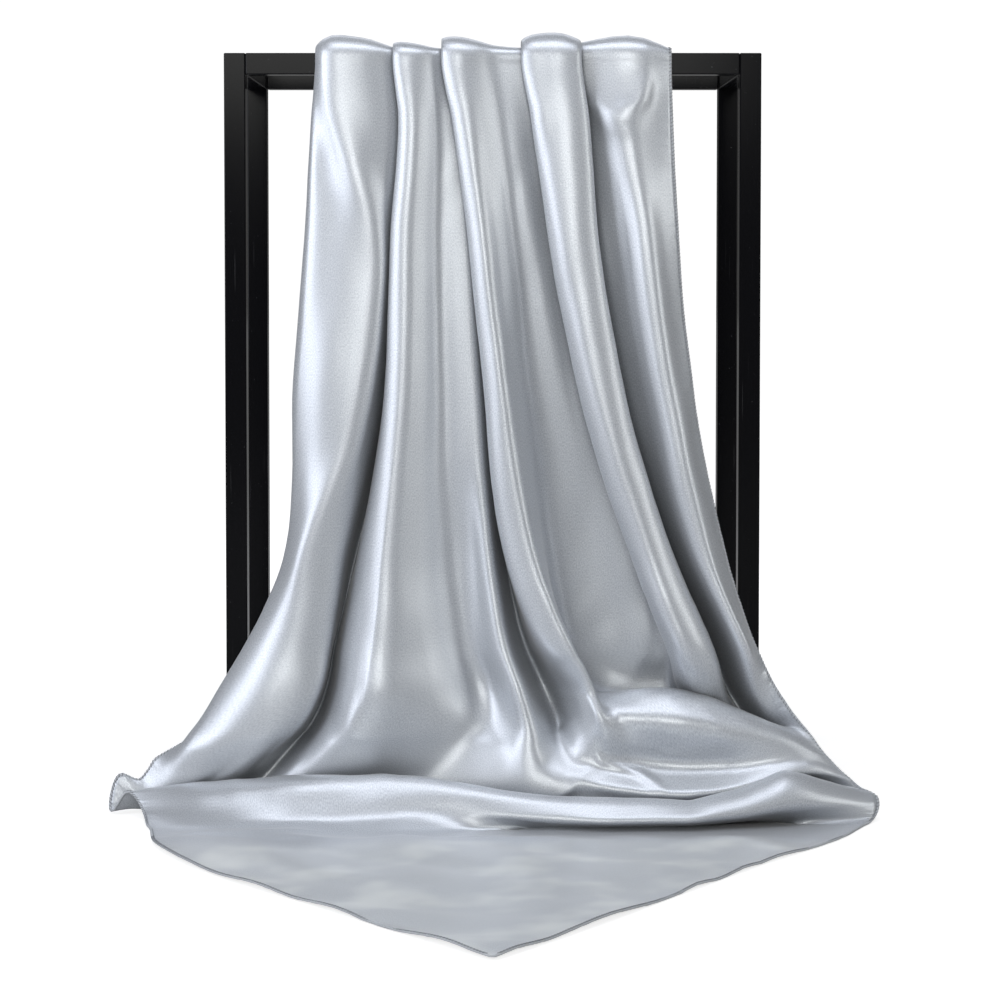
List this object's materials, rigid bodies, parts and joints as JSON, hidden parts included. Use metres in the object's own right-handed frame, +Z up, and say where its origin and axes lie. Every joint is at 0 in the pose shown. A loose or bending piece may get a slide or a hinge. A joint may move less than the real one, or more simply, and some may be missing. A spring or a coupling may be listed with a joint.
{
  "type": "silk square scarf on an open box stand",
  "caption": "Satin square scarf draped in pleats over the front top bar of an open box stand, with a flat corner spread on the floor in front.",
  "frame": {"origin": "on the floor, at the middle of the underside of the stand's front bottom rail", "axes": "+Z up, +X to the right seen from the front, +Y from the front towards the rear of the stand; the scarf's flat corner points to -Y"},
  "size_m": [0.7027, 0.799, 0.719],
  "materials": {
    "silver_satin": "silver-grey satin with a soft bright sheen along its folds",
    "black_lacquer": "glossy black lacquer with faint dust and fine scratches"
  },
  "bodies": {
    "root": {"scarf_back_tail": "silver_satin", "scarf_front_fall": "silver_satin", "scarf_floor_spread": "silver_satin", "stand_post_front_left": "black_lacquer", "stand_post_front_right": "black_lacquer", "stand_post_rear_left": "black_lacquer", "stand_post_rear_right": "black_lacquer", "stand_rail_front_top": "black_lacquer", "stand_rail_front_bottom": "black_lacquer", "stand_rail_rear_top": "black_lacquer", "stand_rail_rear_bottom": "black_lacquer", "stand_rail_left_top": "black_lacquer", "stand_rail_left_bottom": "black_lacquer", "stand_rail_right_top": "black_lacquer", "stand_rail_right_bottom": "black_lacquer"}
  },
  "joints": []
}
